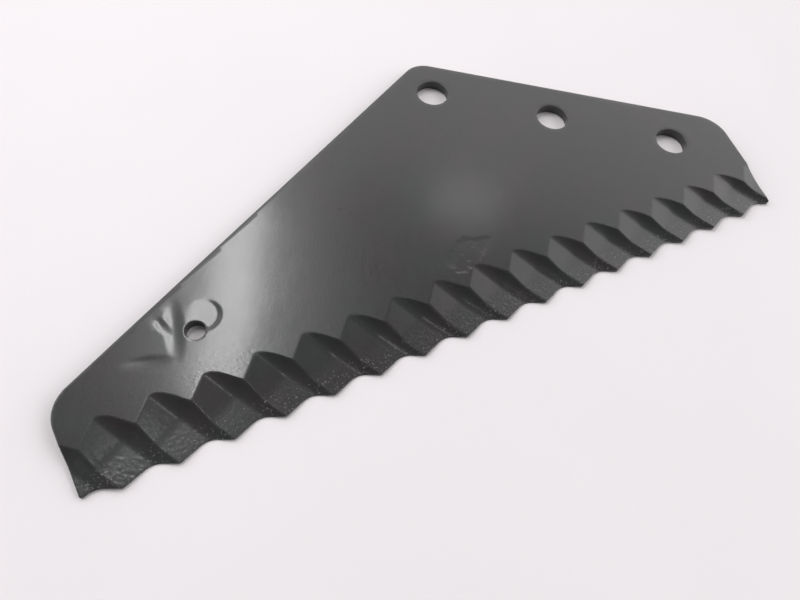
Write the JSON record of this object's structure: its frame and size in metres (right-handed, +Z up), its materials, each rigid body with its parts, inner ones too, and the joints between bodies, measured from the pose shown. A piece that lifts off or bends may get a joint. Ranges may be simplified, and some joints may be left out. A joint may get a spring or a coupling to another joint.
{
  "type": "feed mixer knife",
  "caption": "Flat steel knife for a feed mixer auger, with a tapering outline, a serrated edge of scooped teeth along one side and bolt holes along the mounting edge.",
  "frame": {"origin": "centre of the middle bolt hole, on the underside", "axes": "+X along the row of bolt holes towards the heel, +Y from the cutting edge towards the mounting edge, +Z up out of the scooped face"},
  "size_m": [0.3193, 0.2707, 0.005],
  "materials": {
    "painted_steel": "black semi-gloss paint over rolled and forged steel, pitted and worn at the edges"
  },
  "bodies": {
    "root": {"mixer_knife": "painted_steel"}
  },
  "joints": []
}
